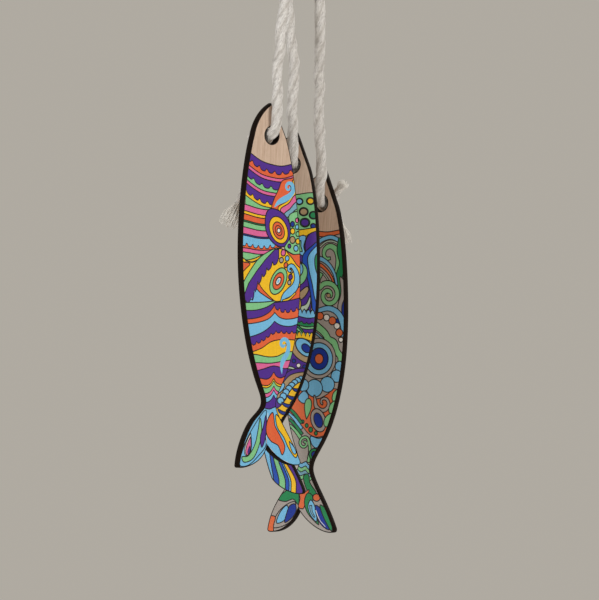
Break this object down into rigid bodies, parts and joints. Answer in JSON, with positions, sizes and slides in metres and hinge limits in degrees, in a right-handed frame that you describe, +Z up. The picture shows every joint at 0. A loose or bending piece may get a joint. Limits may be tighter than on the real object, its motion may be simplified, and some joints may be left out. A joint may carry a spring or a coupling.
{
  "type": "hanging fish ornament",
  "caption": "Painted wooden fish boards hung one behind the other on knotted cotton ropes from a small screwed wall hook, each swinging and turning at its eye.",
  "frame": {"origin": "middle of the hook plate's back face, on the wall", "axes": "+Z up, +Y into the wall, +X to the right as seen from the front; the fish hang below the origin, in front of the wall towards -Y"},
  "size_m": [0.075, 0.0886, 0.4008],
  "materials": {
    "front_board_paint": "hand-painted bands in orange, pink, purple, yellow and light blue on a natural wood face, charred dark brown edges, satin",
    "middle_board_paint": "hand-painted motifs in purple, dark blue, green and yellow on a natural wood face, charred dark brown edges, satin",
    "rear_board_paint": "hand-painted motifs in light blue, dark blue, green, grey and orange on a natural wood face, charred dark brown edges, satin",
    "cotton_rope": "twisted three-strand cotton, undyed grey-white, soft and fuzzy",
    "hook_steel": "dark powder coat, slightly rubbed at the tip",
    "screw_zinc": "zinc plated"
  },
  "bodies": {
    "hook": {"hook_plate": "hook_steel", "hook_arm": "hook_steel", "hook_screw_upper": "screw_zinc", "hook_screw_lower": "screw_zinc"},
    "loop": {"hanging_loop": "cotton_rope", "gather_knot": "cotton_rope"},
    "front_line": {"front_rope": "cotton_rope"},
    "middle_line": {"middle_rope": "cotton_rope"},
    "rear_line": {"rear_rope": "cotton_rope"},
    "front_knot": {"front_rope_turn": "cotton_rope", "front_stopper_knot": "cotton_rope", "front_frayed_end": "cotton_rope"},
    "middle_knot": {"middle_rope_turn": "cotton_rope", "middle_stopper_knot": "cotton_rope", "middle_frayed_end": "cotton_rope"},
    "rear_knot": {"rear_rope_turn": "cotton_rope", "rear_stopper_knot": "cotton_rope", "rear_frayed_end": "cotton_rope", "rear_short_tuft": "cotton_rope"},
    "front_fish": {"front_fish_board": "front_board_paint"},
    "middle_fish": {"middle_fish_board": "middle_board_paint"},
    "rear_fish": {"rear_fish_board": "rear_board_paint"}
  },
  "joints": [
    {"name": "loop_swing", "type": "hinge", "parent": "hook", "child": "loop", "pos_m": [0, -0.046, 0.0073], "axis": [-1, 0, 0], "range_deg": [0, 35]},
    {"name": "front_rope_swing", "type": "hinge", "parent": "loop", "child": "front_line", "pos_m": [-0.0025, -0.0515, -0.0357], "axis": [0, -1, 0], "range_deg": [-15, 15]},
    {"name": "front_twist", "type": "hinge", "parent": "front_line", "child": "front_knot", "pos_m": [-0.0134, -0.07624, -0.12055], "axis": [0, 0, 1], "range_deg": [-12, 12]},
    {"name": "front_fish_tilt", "type": "hinge", "parent": "front_knot", "child": "front_fish", "pos_m": [-0.0174, -0.072, -0.14175], "axis": [0.6198, -0.7848, 0], "range_deg": [-10, 4]},
    {"name": "middle_rope_swing", "type": "hinge", "parent": "loop", "child": "middle_line", "pos_m": [-0.0045, -0.044, -0.0357], "axis": [0, -1, 0], "range_deg": [-15, 15]},
    {"name": "middle_twist", "type": "hinge", "parent": "middle_line", "child": "middle_knot", "pos_m": [-0.00422, -0.05205, -0.13696], "axis": [0, 0, 1], "range_deg": [-12, 12]},
    {"name": "middle_fish_tilt", "type": "hinge", "parent": "middle_knot", "child": "middle_fish", "pos_m": [-0.00406, -0.046, -0.1578], "axis": [-0.309, -0.9511, 0], "range_deg": [-10, 10]},
    {"name": "rear_rope_swing", "type": "hinge", "parent": "loop", "child": "rear_line", "pos_m": [0.0038, -0.0445, -0.0357], "axis": [0, -1, 0], "range_deg": [-15, 15]},
    {"name": "rear_twist", "type": "hinge", "parent": "rear_line", "child": "rear_knot", "pos_m": [0.01224, -0.0264, -0.1586], "axis": [0, 0, 1], "range_deg": [-12, 12]},
    {"name": "rear_fish_tilt", "type": "hinge", "parent": "rear_knot", "child": "rear_fish", "pos_m": [0.0128, -0.02, -0.1795], "axis": [-0.5, -0.866, 0], "range_deg": [-10, 10]}
  ]
}
